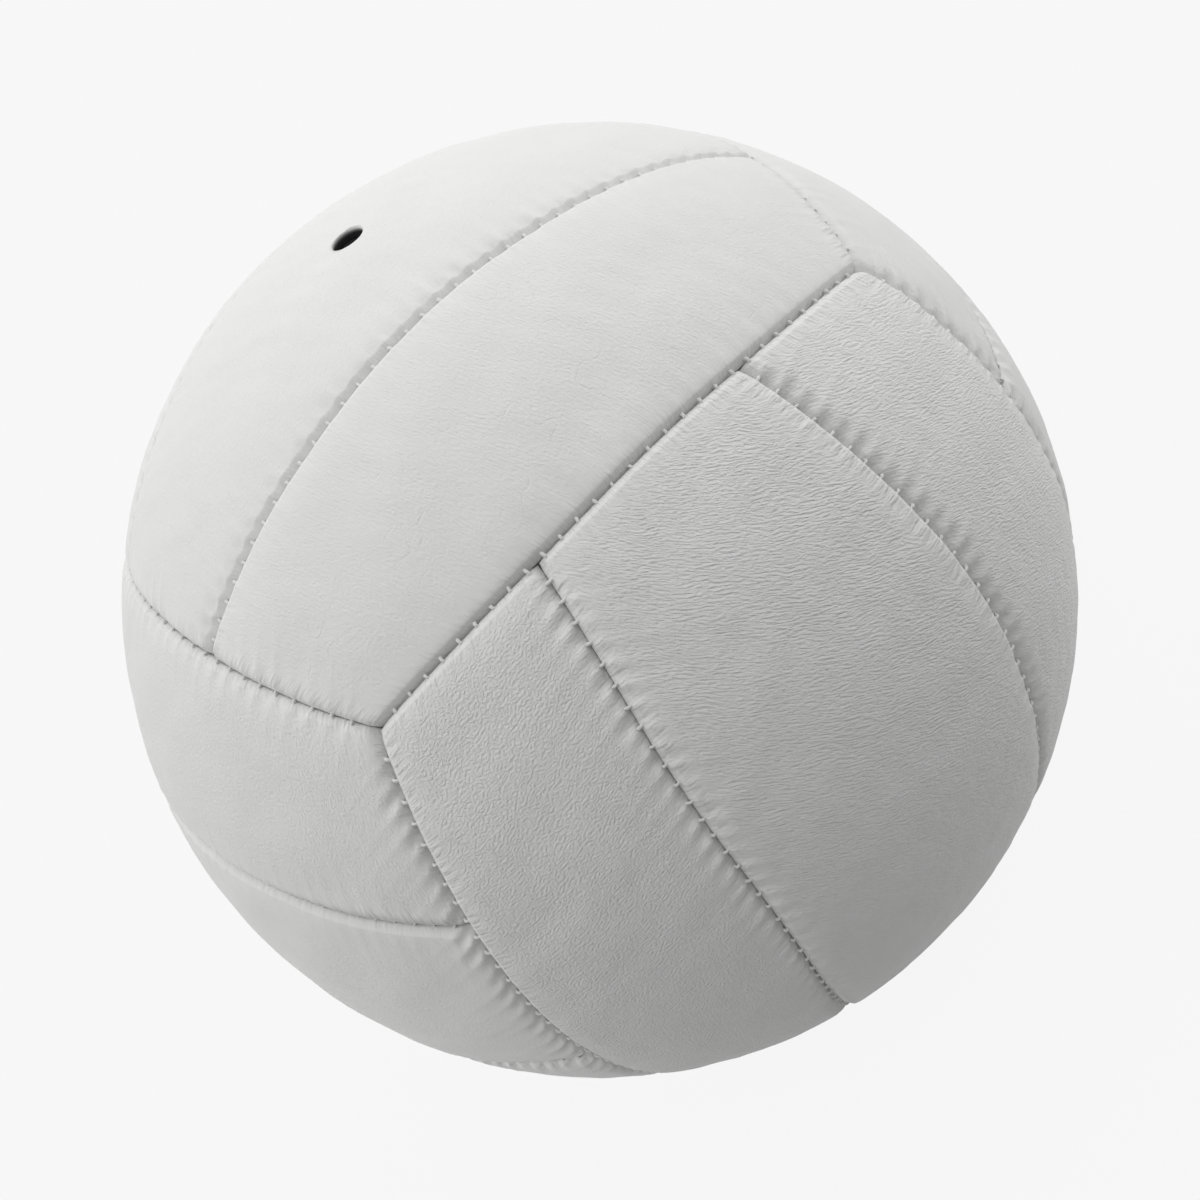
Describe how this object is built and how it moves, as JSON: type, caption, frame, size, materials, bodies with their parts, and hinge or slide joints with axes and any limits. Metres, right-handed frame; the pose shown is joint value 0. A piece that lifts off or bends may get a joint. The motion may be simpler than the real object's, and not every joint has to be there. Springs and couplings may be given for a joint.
{
  "type": "volleyball",
  "caption": "Hand-stitched indoor volleyball of white leather strips in square faces, with foam backing, cloth lining, rubber bladder and a recessed needle valve.",
  "frame": {"origin": "centre of the ball", "axes": "+Z out through the middle of the valve; +X, +Y and +Z each leave through the middle of a square face, and the strips of the +Z face run along X"},
  "size_m": [0.21, 0.21, 0.2099],
  "materials": {
    "leather": "satin",
    "backing": "matt",
    "thread": "satin",
    "lining_cloth": "matt",
    "bladder_rubber": "satin",
    "valve_rubber": "satin",
    "plug_rubber": "satin"
  },
  "bodies": {
    "root": {"panel_top_front": "leather", "panel_top_middle": "leather", "panel_top_back": "leather", "panel_bottom_front": "leather", "panel_bottom_middle": "leather", "panel_bottom_back": "leather", "panel_right_lower": "leather", "panel_right_middle": "leather", "panel_right_upper": "leather", "panel_left_lower": "leather", "panel_left_middle": "leather", "panel_left_upper": "leather", "panel_back_left": "leather", "panel_back_middle": "leather", "panel_back_right": "leather", "panel_front_left": "leather", "panel_front_middle": "leather", "panel_front_right": "leather", "pad_top_front": "backing", "pad_top_middle": "backing", "pad_top_back": "backing", "pad_bottom_front": "backing", "pad_bottom_middle": "backing", "pad_bottom_back": "backing", "pad_right_lower": "backing", "pad_right_middle": "backing", "pad_right_upper": "backing", "pad_left_lower": "backing", "pad_left_middle": "backing", "pad_left_upper": "backing", "pad_back_left": "backing", "pad_back_middle": "backing", "pad_back_right": "backing", "pad_front_left": "backing", "pad_front_middle": "backing", "pad_front_right": "backing", "stitches_top_strips": "thread", "stitches_top_to_front": "thread", "stitches_top_to_back": "thread", "stitches_bottom_strips": "thread", "stitches_bottom_to_front": "thread", "stitches_bottom_to_back": "thread", "stitches_right_strips": "thread", "stitches_right_to_bottom": "thread", "stitches_right_to_top": "thread", "stitches_left_strips": "thread", "stitches_left_to_bottom": "thread", "stitches_left_to_top": "thread", "stitches_back_strips": "thread", "stitches_back_to_left": "thread", "stitches_back_to_right": "thread", "stitches_front_strips": "thread", "stitches_front_to_left": "thread", "stitches_front_to_right": "thread", "lining": "lining_cloth", "bladder": "bladder_rubber", "valve_stem": "valve_rubber", "valve_core": "plug_rubber"}
  },
  "joints": []
}
